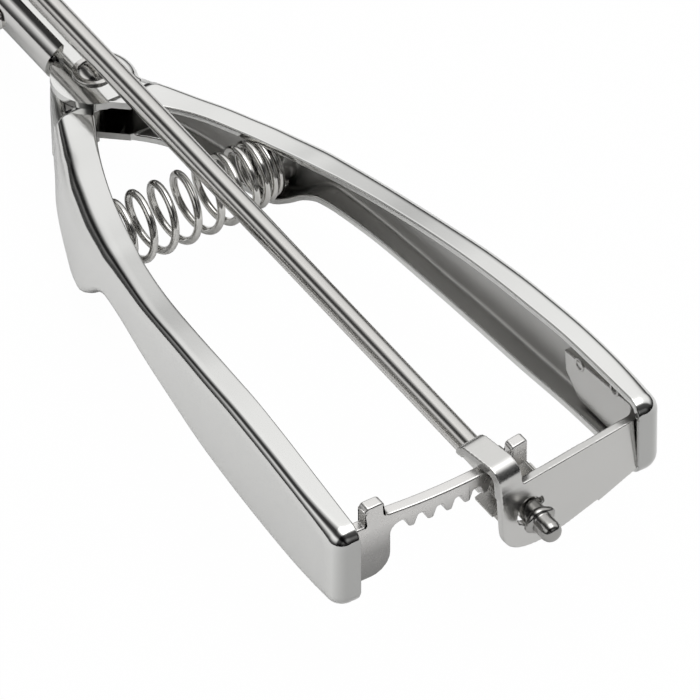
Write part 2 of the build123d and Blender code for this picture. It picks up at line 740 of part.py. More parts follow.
def gear_bracket():
    """Bent bracket: front plate, strap, rear plate and the leg inside the handle."""
    lean_frame = bracket_frame()
    sheet = bracket_sheet_solid()
    outline = Plane.YZ * plate_outline()
    plate = lean_frame * (sheet & extrude(outline, 2 * far, both=True))
    turned = Pos(bracket_front, 0, 0) * Rot(0, 0, bracket_turn)
    section = Plane.XZ * strap_section()
    across = extrude(section, far, both=True)
    strap = across & block(-far, far, plate_left, strap_right, plate_top - 1.5, far)
    rear = across & block(rear_face - bracket_front - 1, rear_face - bracket_front + 4,
                          plate_left, strap_right, 2, far)
    lower = Plane.YZ * rear_plate_outline()
    back_plate = Pos(rear_face - bracket_front, 0, 0) * extrude(lower, bracket_sheet)
    bracket = plate + turned * (strap + rear + back_plate)
    bracket -= rod_cylinder(rod_radius + running_fit, leg_back, rod_end + 5)
    flange = station_value(handle_end, 4, 1) + handle_sheet + leg_flange_gap
    bracket -= block(leg_back - 5, handle_end, leg_outer(leg_back) - 4, far, -far, flange)
    wall_edge = side_y(1, station_value(cap_back, 2, 1), cap_back) + end_wall_setback
    bracket -= block(handle_end - handle_sheet - end_wall_gap, handle_end + handle_sheet,
                     wall_edge - end_wall_gap, far, -far, far)
    return bracket - leg_clip_tool() - wing_slots()


def rear_plate_outline():
    """Rear plate's outline across the rod."""
    reach = rear_reach
    face = Polygon((plate_left, 6), (strap_right, 6), (reach, 1.5), (reach, -reach),
                   (plate_left, -reach), align=None)
    lows = face.vertices().filter_by_position(Axis.Y, -reach - 0.1, -reach + 0.1)
    return fillet(lows, rear_corner)


def wing_slots():
    """Notches in the front plate that let the rod's wings through."""
    reach = wing_reach + slot_gap
    half = wing_thickness / 2 + slot_gap
    slot = block(bracket_front - 5, bracket_front + 4, -reach, reach, -half, half)
    return Pos(0, rod_y, rod_z) * Rot(wing_angle, 0, 0) * slot


def leg_clip_tool():
    """Slanted cut that clips the leg's lower back corner."""
    y = leg_outer(leg_back)
    wedge = Plane.XZ.offset(-y) * Polygon(
        (leg_back - 5, -far), (leg_back + leg_clip, -far), (leg_back + leg_clip, leg_clip_height),
        (leg_back - 1, leg_clip_height + leg_clip + 1), (leg_back - 5, far / 4), align=None)
    return extrude(wedge, 6, both=True)


def bracket_welds():
    """Weld nuggets between the bracket's leg and the handle's wall."""
    nuggets = []
    for distance, z in leg_weld_places:
        x = leg_back + distance
        y = leg_outer(x)
        nugget = Pos(x, y + leg_gap / 2, z) * Rot(90, 0, 0) * Cylinder(
            leg_weld_radius, leg_gap * 0.8)
        nuggets.append(nugget)
    return nuggets[0] + nuggets[1]


# ------------------------------------------------------------------ spring
def return_spring():
    """Compression spring between the two handles."""
    near = spring_x - coil_radius - wire_radius
    ends = [side_y(side, wall_at(near, side) - handle_sheet - wire_radius - spring_end_gap, near)
            for side in (-1, 1)]
    start = ends[0]
    length = ends[1] - start
    path = Helix(pitch=length / coil_turns, height=length, radius=coil_radius)
    section = Plane(origin=path @ 0, z_dir=path % 0) * Circle(wire_radius)
    coil = sweep(section, path=path, is_frenet=True)
    return Pos(spring_x, start, spring_z) * Rot(-90, 0, 0) * coil


def build():
    """Every piece by its node name."""
    return {
        "right_handle": fixed_handle(),
        "left_handle": moving_handle(),
        "pivot_rivet": pivot_rivet(),
        "pivot_washers": pivot_washers(),
        "shank_sleeve": shank_sleeve(),
        "tang_rivet": tang_rivet(),
        "bowl": bowl(),
        "bowl_braze": bowl_braze(),
        "scraper_blade": scraper_blade(),
        "blade_hub": blade_hub(),
        "hub_pin": hub_pin(),
        "blade_stub": blade_stub(),
        "scraper_rod": scraper_rod(),
        "pinion": pinion(),
        "pinion_spacer": pinion_spacer(),
        "rack": rack(),
        "rack_welds": rack_welds(),
        "gear_bracket": gear_bracket(),
        "bracket_welds": bracket_welds(),
        "return_spring": return_spring(),
        "left_spring_seat": spring_seat(-1),
        "right_spring_seat": spring_seat(1),
    }


def main():
    os.makedirs("parts", exist_ok=True)
    pieces = build()
    boxes = [piece.bounding_box() for piece in pieces.values()]
    low_x = min(box.min.X for box in boxes)
    high_x = max(box.max.X for box in boxes)
    low_y = min(box.min.Y for box in boxes)
    high_y = max(box.max.Y for box in boxes)
    low_z = min(box.min.Z for box in boxes)
    move = Pos(-(low_x + high_x) / 2, -(low_y + high_y) / 2, -low_z)
    print("the datum on the pivot's axis is now at", move.position)
    for name, piece in pieces.items():
        export_step(move * piece, "parts/" + name + ".step")


main()
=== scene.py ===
import math

import bpy
import bmesh
from mathutils import Matrix, Vector


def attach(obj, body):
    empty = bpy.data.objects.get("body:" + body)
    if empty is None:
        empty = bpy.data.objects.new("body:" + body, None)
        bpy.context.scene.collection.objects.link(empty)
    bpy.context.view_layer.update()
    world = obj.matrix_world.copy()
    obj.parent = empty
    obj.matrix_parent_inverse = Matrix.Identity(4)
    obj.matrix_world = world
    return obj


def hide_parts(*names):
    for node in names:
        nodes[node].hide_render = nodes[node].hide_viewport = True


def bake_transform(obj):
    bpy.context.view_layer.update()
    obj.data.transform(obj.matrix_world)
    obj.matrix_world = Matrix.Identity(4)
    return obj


# Lever ice cream scoop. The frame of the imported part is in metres. Lengths below are in
# millimetres about the datum on the pivot's axis, unless their comment says m: X along the
# rod to the handles' end, Y to the fixed handle, Z up. A side is -1 for the moving handle
# and 1 for the fixed one.

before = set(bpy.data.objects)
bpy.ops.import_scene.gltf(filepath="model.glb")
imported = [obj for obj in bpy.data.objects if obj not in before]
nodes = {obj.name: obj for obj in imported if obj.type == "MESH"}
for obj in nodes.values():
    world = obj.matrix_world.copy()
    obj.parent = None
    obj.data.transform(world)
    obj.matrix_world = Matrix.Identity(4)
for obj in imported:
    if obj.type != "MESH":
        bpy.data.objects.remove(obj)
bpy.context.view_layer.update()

datum = Vector((-36.325, 5.26363, 25.5))    # the datum's place in the frame
rod_line = Vector((0.0, -0.5, -0.5))        # the rod's axis runs along X through this point


def at(x, y, z):
    """A point in the frame's metres, from millimetres about the datum."""
    return (Vector((x, y, z)) + datum) / 1000


def clamped(share):
    return max(0.0, min(1.0, share))


def eased(share):
    """A share from 0 to 1, with a level start and end."""
    return share * share * (3 - 2 * share)


# ------------------------------------------------------------------ materials
cloud_scale = 60.0          # per m, how fine the clouds in the colour are
wave_scale = 38.0           # per m, how fine the sheet's long waves are
wave_depth = 0.001          # m, height of those waves in the bump
grain_depth = 0.0002        # m, height of the grain lines
# grey values of a painted shade that darkens a part towards its bottom
painted_shade_stops = [(0.0, 0.36), (0.55, 0.5), (1.0, 1.0)]
end_shade_tone = 0.62             # share of its brightness that an end keeps under its painted shade
end_shade_span = (-1.2, 0.6)      # where the painted shade starts and is full, about the end's X


def new_material(name):
    """A material with nodes, its tree and its shader."""
    material = bpy.data.materials.new(name)
    material.use_nodes = True
    tree = material.node_tree
    return material, tree, tree.nodes["Principled BSDF"]


def add(tree, kind, **values):
    """A new node with these inputs or settings."""
    node = tree.nodes.new(kind)
    for key, value in values.items():
        if key in node.inputs:
            node.inputs[key].default_value = value
        else:
            setattr(node, key, value)
    return node


def ramp(tree, source, stops):
    """Grey values over a source from 0 to 1, from stops of place and value."""
    node = add(tree, "ShaderNodeValToRGB")
    elements = node.color_ramp.elements
    while len(elements) > 1:
        elements.remove(elements[-1])
    elements[0].position, elements[0].color = stops[0][0], (*[stops[0][1]] * 3, 1)
    for place, value in stops[1:]:
        elements.new(place).color = (*[value] * 3, 1)
    tree.links.new(source, node.inputs["Fac"])
    return node.outputs["Color"]


def multiplied(tree, one, two):
    """The product of two colours."""
    node = add(tree, "ShaderNodeMix", data_type="RGBA", blend_type="MULTIPLY")
    node.inputs["Factor"].default_value = 1.0
    tree.links.new(one, node.inputs["A"])
    tree.links.new(two, node.inputs["B"])
    return node.outputs["Result"]


def mapped(tree, value, low, high, to_low=0.0, to_high=1.0):
    """The value's span from low to high, stretched to another span."""
    node = add(tree, "ShaderNodeMapRange")
    node.inputs["From Min"].default_value = low
    node.inputs["From Max"].default_value = high
    node.inputs["To Min"].default_value = to_low
    node.inputs["To Max"].default_value = to_high
    tree.links.new(value, node.inputs["Value"])
    return node.outputs["Result"]


def noise(tree, vector, scale, detail, roughness):
    node = add(tree, "ShaderNodeTexNoise", Scale=scale, Detail=detail, Roughness=roughness)
    tree.links.new(vector, node.inputs["Vector"])
    return node.outputs["Fac"]


def bumped(tree, height, strength, distance, normal=None):
    """A normal bent by a height, on top of another normal if there is one."""
    node = add(tree, "ShaderNodeBump", Strength=strength, Distance=distance)
    tree.links.new(height, node.inputs["Height"])
    if normal is not None:
        tree.links.new(normal, node.inputs["Normal"])
    return node.outputs["Normal"]


def steel(name, tone, rough, grain, grain_scale, bump, cloud=0.05, wave=0.0, painted_shade_heights=None,
          painted_shade_x=None):
    """Steel with a drawn or buffed grain: tone is its colour and cloud how much of it comes
    and goes, rough the span of its roughness, grain the stretch of the lines and bump their
    strength, wave how far the sheet rolls. Heights, if given, span a painted shade that is
    darkest at the bottom and fades out upwards, and an X, if given, starts a painted shade
    that darkens the metal beyond it."""
    material, tree, shader = new_material(name)
    links = tree.links
    place = add(tree, "ShaderNodeTexCoord").outputs["Object"]
    axes = add(tree, "ShaderNodeSeparateXYZ")
    links.new(place, axes.inputs[0])
    stretch = add(tree, "ShaderNodeMapping")
    stretch.inputs["Scale"].default_value = grain
    links.new(place, stretch.inputs["Vector"])
    lines = noise(tree, stretch.outputs["Vector"], grain_scale, 6.0, 0.6)
    shader.inputs["Metallic"].default_value = 1.0
    links.new(mapped(tree, lines, 0.3, 0.7, *rough), shader.inputs["Roughness"])

    mix = add(tree, "ShaderNodeMix", data_type="RGBA")
    mix.inputs["A"].default_value = (*[channel * (1 - cloud) for channel in tone], 1)
    mix.inputs["B"].default_value = (*tone, 1)
    links.new(noise(tree, place, cloud_scale, 3.0, 0.5), mix.inputs["Factor"])
    colour = mix.outputs["Result"]
    # painted shade: darker towards the bottom, fading out upwards over the span of heights
    if painted_shade_heights:
        heights = [(height + datum.z) / 1000 for height in painted_shade_heights]
        fade = mapped(tree, axes.outputs["Z"], *heights)
        colour = multiplied(tree, colour, ramp(tree, fade, painted_shade_stops))
    # painted shade: darker beyond the given X, towards the end
    if painted_shade_x:
        places = [(painted_shade_x + reach + datum.x) / 1000 for reach in end_shade_span]
        fade = mapped(tree, axes.outputs["X"], *places)
        colour = multiplied(tree, colour, ramp(tree, fade, [(0.0, 1.0), (1.0, end_shade_tone)]))
    links.new(colour, shader.inputs["Base Color"])

    surface = bumped(tree, lines, bump, grain_depth)
    if wave:
        rolling = noise(tree, place, wave_scale, 1.0, 0.4)
        surface = bumped(tree, rolling, wave, wave_depth, surface)
    links.new(surface, shader.inputs["Normal"])
    return material


bright = (0.76, 0.76, 0.745)
even = (1, 1, 1)            # a grain without a direction
steels = {
    # the handles' polished steel, its end walls darkened by painted shade
    "handle_steel": steel("handle_polished", bright, (0.06, 0.12), (0.4, 3, 3), 700, 0.02,
                          cloud=0.04, wave=0.03, painted_shade_x=145.6),
    # the channels' inner faces: a rougher finish, and a darker tone that is painted shade
    "handle_inside_painted_shade": steel("handle_inside_painted_shade", (0.62, 0.615, 0.60), (0.34, 0.44), (0.4, 3, 3),
                           700, 0.03, cloud=0.2),
    # top of the moving handle's ears: a darker copy of the steel that is painted shade
    "handle_ear_painted_shade": steel("handle_ear_painted_shade", (0.42, 0.415, 0.405), (0.16, 0.24), even, 500, 0.02,
                        cloud=0.2),
    "bowl_steel": steel("bowl_polished", bright, (0.05, 0.11), (1, 1, 0.3), 600, 0.015),
    "polished_steel": steel("sleeve_polished", (0.7, 0.695, 0.68), (0.06, 0.12),
                            (0.3, 3, 3), 700, 0.02),
    # the rod, its end through the bracket's hole darkened by painted shade
    "rod_steel": steel("rod_drawn", (0.64, 0.63, 0.61), (0.15, 0.19), (0.15, 3, 3), 300,
                       0.003, painted_shade_x=148.8),
    "spring_steel": steel("spring_wire", (0.7, 0.69, 0.665), (0.08, 0.16), even, 800, 0.03),
    "gear_steel": steel("gear_cut", (0.5, 0.49, 0.47), (0.22, 0.36), (3, 1, 1), 900, 0.06),
    # the rack, darkened towards its bottom by painted shade
    "rack_steel": steel("rack_blanked", (0.70, 0.69, 0.675), (0.26, 0.3), even, 500, 0.004,
                        painted_shade_heights=(-6.0, 7.0)),
    "bracket_steel": steel("bracket_satin", (0.62, 0.615, 0.60), (0.2, 0.27), even, 600,
                           0.006),
    "rivet_steel": steel("rivet_polished", (0.66, 0.65, 0.63), (0.1, 0.18), even, 700, 0.02),
    "braze": steel("braze_fillet", (0.55, 0.53, 0.47), (0.25, 0.4), even, 500, 0.1),
}
slots = {
    "right_handle": "handle_steel", "left_handle": "handle_steel", "bowl": "bowl_steel",
    "shank_sleeve": "polished_steel", "tang_rivet": "rivet_steel", "bowl_braze": "braze",
    "pivot_rivet": "rivet_steel", "pivot_washers": "rivet_steel",
    "right_spring_seat": "polished_steel", "left_spring_seat": "polished_steel",
    "gear_bracket": "bracket_steel", "bracket_welds": "braze", "rack": "rack_steel",
    "rack_welds": "braze", "return_spring": "spring_steel", "scraper_rod": "rod_steel",
    "pinion": "gear_steel", "pinion_spacer": "gear_steel", "scraper_blade": "polished_steel",
    "blade_hub": "polished_steel", "hub_pin": "rivet_steel", "blade_stub": "rivet_steel",
}
bodies = {
    "left_handle": "lever", "left_spring_seat": "lever", "rack": "lever",
    "rack_welds": "lever", "scraper_rod": "scraper", "pinion": "scraper",
    "pinion_spacer": "scraper", "scraper_blade": "scraper", "blade_hub": "scraper",
    "hub_pin": "scraper", "blade_stub": "scraper",
}
for name, node in nodes.items():
    for slot in node.material_slots:
        slot.material = steels[slots[name]]


# ------------------------------------------------------------------ pieces
seam = 2e-6                     # m, vertices nearer than this are one
flat = math.radians(0.4)        # faces that bend less than this are one
soft_edges = {"shank_sleeve": 0.2, "pivot_rivet": 0.2, "pivot_washers": 0.12,
              "pinion": 0.12, "bowl": 0.25, "scraper_blade": 0.2, "blade_hub": 0.2}


def mesh_of(bm, name):
    mesh = bpy.data.meshes.new(name)
    bm.to_mesh(mesh)
    bm.free()
    return mesh


def new_object(name, mesh, node):
    """Link a finished mesh made for a CAD node, with that node's material if it has none."""
    obj = bpy.data.objects.new(name, mesh)
    bpy.context.scene.collection.objects.link(obj)
    if len(mesh.materials) == 0:
        mesh.materials.append(steels[slots[node]])
    for face in mesh.polygons:
        face.use_smooth = True
    return obj


def combined(one, two, operation):
    """One closed mesh from two, by UNION or DIFFERENCE. The two meshes are used up."""
    pair = []
    for mesh in (one, two):
        pair.append(bpy.data.objects.new("part", mesh))
        bpy.context.scene.collection.objects.link(pair[-1])
    join = pair[0].modifiers.new("join", "BOOLEAN")
    join.operation = operation
    join.solver = "EXACT"
    join.object = pair[1]
    graph = bpy.context.evaluated_depsgraph_get()
    graph.update()
    result = bpy.data.meshes.new_from_object(pair[0].evaluated_get(graph))
    for obj, mesh in zip(pair, (one, two)):
        bpy.data.objects.remove(obj)
        bpy.data.meshes.remove(mesh)
    return result


def bridged(bm, rings, closed=False):
    """Faces between successive rings of vertices: one band of faces for each pair."""
    pairs = list(zip(rings, rings[1:]))
    if closed:
        pairs.append((rings[-1], rings[0]))
    bands = []
    for one, two in pairs:
        size = len(one)
        bands.append([bm.faces.new((one[k], one[(k + 1) % size], two[(k + 1) % size], two[k]))
                      for k in range(size)])
    return bands


def circle(bm, middle, one, two, radius, sides):
    """Ring of vertices about a point, in the plane of two directions. All in m."""
    turns = [2 * math.pi * k / sides for k in range(sides)]
    return [bm.verts.new(middle + radius * (one * math.cos(turn) + two * math.sin(turn)))
            for turn in turns]


def joined_copy(node):
    """The node's own mesh for editing, with its seams closed."""
    bm = bmesh.new()
    bm.from_mesh(nodes[node].data)
    bmesh.ops.remove_doubles(bm, verts=bm.verts, dist=seam)
    return bm


def plain_mesh(node):
    """The node's own mesh, with the triangles of each flat face joined."""
    bm = joined_copy(node)
    bmesh.ops.dissolve_limit(bm, angle_limit=flat, verts=bm.verts, edges=bm.edges)
    mesh = mesh_of(bm, node + "_plain")
    if mesh.has_custom_normals:
        mesh.attributes.remove(mesh.attributes["custom_normal"])
    return mesh


def edge_round(obj, width, angle=28, segments=3, clamp=True):
    """Break the object's edges with a small round and keep its flat faces flat."""
    bevel = obj.modifiers.new("edge", "BEVEL")
    bevel.width = width / 1000
    bevel.segments = segments
    bevel.limit_method = "ANGLE"
    bevel.angle_limit = math.radians(angle)
    bevel.use_clamp_overlap = clamp
    weights = obj.modifiers.new("normals", "WEIGHTED_NORMAL")
    weights.weight = 60


def softened(node, width):
    """The node's own shape with its edges broken by a round of this width."""
    obj = new_object(node + "_soft", plain_mesh(node), node)
    edge_round(obj, width)
    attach(obj, bodies.get(node, "frame"))
    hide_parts(node)
    return obj


# ------------------------------------------------------------------ handles
handle_end = 146.3
cap_round = 3.4             # round of the end wall's rim
cap_start = handle_end - cap_round
cap_reach = 14.0            # how far before the end wall the long rounds start to grow
cap_growth = 1.2            # and by how much they do
sheet = 1.5                 # thickness of the formed sheet
skin_round = 2.4            # outer radius of a channel's two long rounds
least_round = 0.25
lip_round = 0.32            # rounded free edges, and their corner's cut at half the turn
lip_cut = 0.09
skew = 0.033                # lean of the handles' centre line, per mm of X
arm_steps = 110

# Stations along each handle, offset from the skewed centre line: X, outer wall, free edge
# of the flanges, top face, bottom face.
handle_rows = {
    -1: [(5.0, 11.5, 2.9, -8.45, -17.95), (11.0, 14.4, 6.0, -7.95, -18.2),
         (16.0, 16.8, 8.6, -7.35, -19.0), (22.0, 19.3, 11.3, -6.5, -19.6),
         (28.0, 21.3, 13.6, -5.8, -20.4), (33.0, 22.9, 15.3, -5.2, -20.9),
         (37.0, 24.0, 16.5, -4.65, -20.5), (41.0, 25.0, 17.65, -4.0, -18.0),
         (45.0, 25.9, 18.75, -3.3, -14.3), (49.0, 26.6, 19.8, -2.6, -12.2),
         (54.0, 27.5, 21.2, -1.6, -11.5), (66.0, 29.5, 23.6, 0.9, -11.0),
         (80.0, 31.3, 25.6, 4.1, -10.8), (94.0, 32.9, 27.0, 6.8, -10.6),
         (108.0, 34.0, 28.1, 8.7, -10.3), (124.0, 35.0, 29.3, 9.6, -9.6),
         (handle_end, 36.0, 30.6, 9.8, -8.2)],
    1: [(8.0, 9.68, -2.1, -6.98, -16.25), (11.0, 11.5, 1.8, -6.95, -16.3),
        (16.0, 14.1, 6.9, -6.7, -16.8), (22.0, 17.0, 10.6, -6.1, -18.0),
        (28.0, 19.6, 13.3, -5.65, -19.3), (33.0, 21.7, 15.3, -5.2, -19.9),
        (37.0, 23.0, 16.6, -4.7, -19.2), (41.0, 24.2, 17.8, -4.05, -16.6),
        (45.0, 25.2, 18.8, -3.3, -13.2), (49.0, 26.0, 19.8, -2.6, -11.3),
        (54.0, 26.8, 20.9, -1.6, -10.8), (66.0, 28.4, 22.9, 0.9, -10.3),
        (80.0, 29.7, 24.3, 4.1, -9.7), (94.0, 31.1, 25.5, 6.8, -9.1),
        (108.0, 32.3, 26.6, 8.7, -8.6), (124.0, 33.7, 28.2, 9.6, -8.1),
        (handle_end, 35.0, 29.6, 9.8, -7.5)],
}

# By X, how far the foot of the moving handle's wall stands outside its shoulder. It gains
# this over flare_depth below the top.
flare_marks = [(5.0, 0.9), (11.0, 1.3), (18.0, 1.9), (36.0, 1.9), (46.0, 1.2), (60.0, 0.6),
               (90.0, 0.4), (150.0, 0.2)]
flare_depth = 15.0

shoulder_extra = 2.0        # added to the moving handle's upper round, between these spans
shoulder_opens = (4.0, 16.0)
shoulder_closes = (30.0, 75.0)

ears_end = {-1: 6.6, 1: 11.02}      # X where the node's own ears give way to the arm
ear_spread = 0.7                    # how far the moving ears' outer side is pushed out
foot_spread = 1.2                   # and how much more at their foot
ear_sharp = math.radians(35)        # ear edges that turn more than this get a round
ear_round = 0.28
web_middle = -12.4                  # height of the web between the ears
web_half = 3.6                      # half the height of its face


def share_of(span, x):
    """How far X is through a span, from 0 to 1."""
    return clamped((x - span[0]) / (span[1] - span[0]))


def row_before(rows, x):
    return max(i for i in range(len(rows) - 1) if i == 0 or rows[i][0] <= x)


def quarter_turn(steps):
    """Angles of a quarter circle in equal steps, without its start."""
    return [math.pi / 2 * k / steps for k in range(1, steps + 1)]


def flare(x, side):
    """How far the foot of a handle's wall stands outside its shoulder."""
    if side > 0:
        return 0.0
    index = row_before(flare_marks, x)
    (x0, near), (x1, beyond) = flare_marks[index], flare_marks[index + 1]
    return near + (beyond - near) * eased((x - x0) / (x1 - x0))


def shoulder(x, side):
    """Radius of the round between a handle's top and its outer wall."""
    if side > 0:
        return skin_round
    closed = eased(share_of(shoulder_closes, x))
    return skin_round + shoulder_extra * (1 - closed) * share_of(shoulder_opens, x)


def station(x, side):
    """Wall, edge, top and bottom at any X, each on a smooth curve without overshoot."""
    rows = handle_rows[side]
    index = row_before(rows, x)
    span = rows[index + 1][0] - rows[index][0]
    t = (x - rows[index][0]) / span
    values = []
    for column in (1, 2, 3, 4):
        slopes = [(b[column] - a[column]) / (b[0] - a[0]) for a, b in zip(rows, rows[1:])]
        tangents = [slopes[0]]
        for before, after in zip(slopes, slopes[1:]):
            level = before * after <= 0
            tangents.append(0.0 if level else 2 * before * after / (before + after))
        tangents.append(slopes[-1])
        values.append((1 + 2 * t) * (1 - t) ** 2 * rows[index][column]
                      + t * (1 - t) ** 2 * span * tangents[index]
                      + t ** 2 * (3 - 2 * t) * rows[index + 1][column]
                      + t ** 2 * (t - 1) * span * tangents[index + 1])
    return values


def leaning(side, x, offset, z):
    """Point at an offset from the skewed centre line to one side."""
    return x, side * offset - skew * x, z


def channel(wall, edge, high, low, foot, top):
    """Offsets and heights along a channel's skin, from its upper to its lower free edge:
    top face, shoulder of radius top, wall, round of radius foot, bottom face."""
    points = [(edge + (wall - top - edge) * k / 10, high) for k in range(11)]
    for turn in quarter_turn(14):
        points.append((wall - top + top * math.sin(turn), high - top + top * math.cos(turn)))
    for k in range(1, 11):
        points.append((wall, high - top + (low - high + foot + top) * k / 10))
    for turn in quarter_turn(10):
        points.append((wall - foot + foot * math.cos(turn), low + foot - foot * math.sin(turn)))
    for k in range(1, 11):
        points.append((wall - foot + (edge - wall + foot) * k / 10, low))
    return points


def lip(side, edge, start, end):
    """Four points of a rounded free edge, from one skin's X and Z to the other's."""
    cuts = [(lip_cut, lip_cut), (lip_round, 0.0)]
    up = 1 if end[1] > start[1] else -1
    points = [leaning(side, start[0], edge + back, start[1] + up * step) for step, back in cuts]
    return points + [leaning(side, end[0], edge + back, end[1] - up * step)
                     for step, back in reversed(cuts)]


def section(side, x, inner_x, inset, inner_inset):
    """Closed loop of points round the sheet: outer skin, lower edge, inner skin, upper edge.
    The insets are how far the skins have closed in towards the end wall."""
    wall, edge, high, low = station(min(x, cap_start), side)
    grown = cap_growth * share_of((cap_start - cap_reach, cap_start), x) ** 2
    foot = skin_round + grown
    top = shoulder(x, side) + grown
    hollow = sheet + inner_inset
    skins = []
    for depth, place in ((inset, x), (hollow, inner_x)):
        skin = []
        for offset, z in channel(wall - depth, edge + lip_round, high - depth, low + depth,
                                 max(foot - depth, least_round), max(top - depth, least_round)):
            deep = clamped((high - z) / flare_depth)
            out = clamped((offset - edge) / (wall - edge))
            offset += flare(x, side) * deep ** 1.2 * out
            skin.append(leaning(side, place, offset, z))
        skins.append(skin)
    lower = lip(side, edge, (x, low + inset), (inner_x, low + hollow))
    upper = lip(side, edge, (inner_x, high - hollow), (x, high - inset))
    return skins[0] + lower + skins[1][::-1] + upper


def arm_rows(side):
    """Outer X, inner X and both skins' insets, from the neck to the end wall."""
    first = handle_rows[side][0][0]
    rows = []
    for k in range(arm_steps + 1):
        x = first + (cap_start - first) * k / arm_steps
        rows.append((x, x, 0.0, 0.0))
    inner_round = cap_round - sheet
    for turn in quarter_turn(10):
        out, back = math.sin(turn), 1 - math.cos(turn)
        rows.append((cap_start + cap_round * out, cap_start + inner_round * out,
                     cap_round * back, inner_round * back))
    return rows


def arm(side):
    """Mesh of the formed channel from the neck to its closed end."""
    bm = bmesh.new()
    loops = [[bm.verts.new(at(*point)) for point in section(side, *row)]
             for row in arm_rows(side)]
    bands = bridged(bm, loops)
    last = loops[-1]
    skin = (len(last) - 8) // 2         # a loop is two skins and two free edges of 4 points
    outer, lower = last[:skin], last[skin:skin + 4]
    inner, upper = last[skin + 4:2 * skin + 4], last[2 * skin + 4:]
    inside = [face for band in bands for face in band[skin + 4:2 * skin + 3]]
    bm.faces.new([*outer, lower[0], lower[1], upper[2], upper[3]])
    inside.append(bm.faces.new([*inner, upper[0], upper[1], lower[2], lower[3]]))
    bm.faces.new([lower[1], lower[2], upper[1], upper[2]])
    bm.faces.new(list(reversed(loops[0])))
    bmesh.ops.recalc_face_normals(bm, faces=bm.faces)
    # The inner skin takes the inside material, whose darker tone is painted shade.
    for face in inside:
        face.material_index = 1
    return mesh_of(bm, "arm")


def spread_ears(bm):
    """Push the moving handle's ears out to meet its flared wall."""
    for vert in bm.verts:
        x, y, z = vert.co * 1000 - datum
        along = share_of((-4.0, 11.0), x)
        away = share_of((-5.0, -9.0), y)
        deep = share_of((-8.6, -17.8), z)
        vert.co.y -= (ear_spread + foot_spread * deep) * eased(along) * away / 1000


def ears(node, side):
    """Mesh of the node's ears and all that lies before the arm, cut from its own mesh."""
    bm = joined_copy(node)
    cut = at(ears_end[side], 0, 0)
    bmesh.ops.bisect_plane(bm, geom=bm.verts[:] + bm.edges[:] + bm.faces[:],
                           plane_co=cut, plane_no=(1, 0, 0), clear_outer=True)
    bmesh.ops.holes_fill(bm, edges=[edge for edge in bm.edges if len(edge.link_faces) == 1])
    bmesh.ops.dissolve_limit(bm, angle_limit=flat, verts=bm.verts, edges=bm.edges)
    sharp = [edge for edge in bm.edges if len(edge.link_faces) == 2
             and edge.calc_face_angle(0) > ear_sharp
             and min(vert.co.x for vert in edge.verts) < cut.x - 1e-4]
    bmesh.ops.bevel(bm, geom=sharp, offset=ear_round / 1000, segments=3, profile=0.5,
                    affect="EDGES", clamp_overlap=True)
    for face in bm.faces:
        height = face.calc_center_median().z - at(0, 0, web_middle).z
        upright = abs(face.normal.z) < 0.5
        # Web faces between the ears take the inside material, whose darker tone is painted
        # shade.
        if abs(height) < web_half / 1000 and upright and face.normal.y * side < -0.2:
            face.material_index = 1
        # The moving ears' top faces take a darker copy of the steel: painted shade.
        if side < 0 and face.normal.z > 0.9 and height > 0:
            face.material_index = 2
    if side < 0:
        spread_ears(bm)
    bmesh.ops.recalc_face_normals(bm, faces=bm.faces)
    return mesh_of(bm, "ears")


def formed_handle(node, side):
    """The handle with its arm formed anew and joined to its own node's ears."""
    parts = arm(side), ears(node, side)
    for part in parts:
        for surface in ("handle_steel", "handle_inside_painted_shade", "handle_ear_painted_shade"):
            part.materials.append(steels[surface])
    obj = new_object(node + "_formed", combined(*parts, "UNION"), node)
    weights = obj.modifiers.new("normals", "WEIGHTED_NORMAL")
    weights.weight = 50
    weights.keep_sharp = True
    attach(obj, bodies.get(node, "frame"))
    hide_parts(node)


# ------------------------------------------------------------------ rack
rack_thick = 2.5
rack_top = 8.0
tooth_pitch = 3.927
tooth_count = 6
first_gap = -3.523          # Y of the middle of the first gap between teeth
gap_root, gap_mouth = 0.554, 1.355      # half a gap's width at the roots and at the tips
root_height, tip_height = 3.75, 5.95
bow_radius = 118.0
bow_middle = (26.8, -16.0)  # X and Y of the centre of the rack's bow
flat_from = -27.5           # before this Y the bar is straight


def rounded(corners, steps=5):
    """Outline whose corners (Y, Z, radius) are replaced by arcs."""
    points = []
    count = len(corners)
    for index, (y, z, radius) in enumerate(corners):
        here = Vector((y, z))
        before = (Vector(corners[index - 1][:2]) - here).normalized()
        after = (Vector(corners[(index + 1) % count][:2]) - here).normalized()
        half = before.angle(after) / 2
        reach = radius / math.tan(half)
        centre = here + (before + after).normalized() * radius / math.sin(half)
        one = here + before * reach - centre
        two = here + after * reach - centre
        for k in range(steps + 1):
            mix = one.lerp(two, k / steps)
            points.append(centre + mix.normalized() * radius)
    return points


def bow(y):
    """X of the rack's bowed front face."""
    aside = max(y, flat_from) - bow_middle[1]
    return bow_middle[0] + math.sqrt(bow_radius ** 2 - aside ** 2)


def rack_corners():
    """Corners of the toothed bar with its two tabs and the base plate at its left end."""
    corners = [(-38.3, rack_top, 0.3), (-33.0, rack_top, 0.3), (-33.0, 12.2, 0.9),
               (-28.8, 12.2, 0.9), (-28.8, 8.75, 1.2), (-1.5, 8.75, 0.6), (-1.5, 11.3, 0.8),
               (2.4, 11.3, 0.8), (2.4, tip_height, 0.3)]
    for index in range(tooth_count):
        y = first_gap - index * tooth_pitch
        corners += [(y + gap_mouth, tip_height, 0.5), (y + gap_root, root_height, 0.45),
                    (y - gap_root, root_height, 0.45), (y - gap_mouth, tip_height, 0.5)]
    return corners + [(-27.5, 5.9, 2.3), (-27.5, -4.9, 4.2), (-38.3, -4.9, 0.5)]


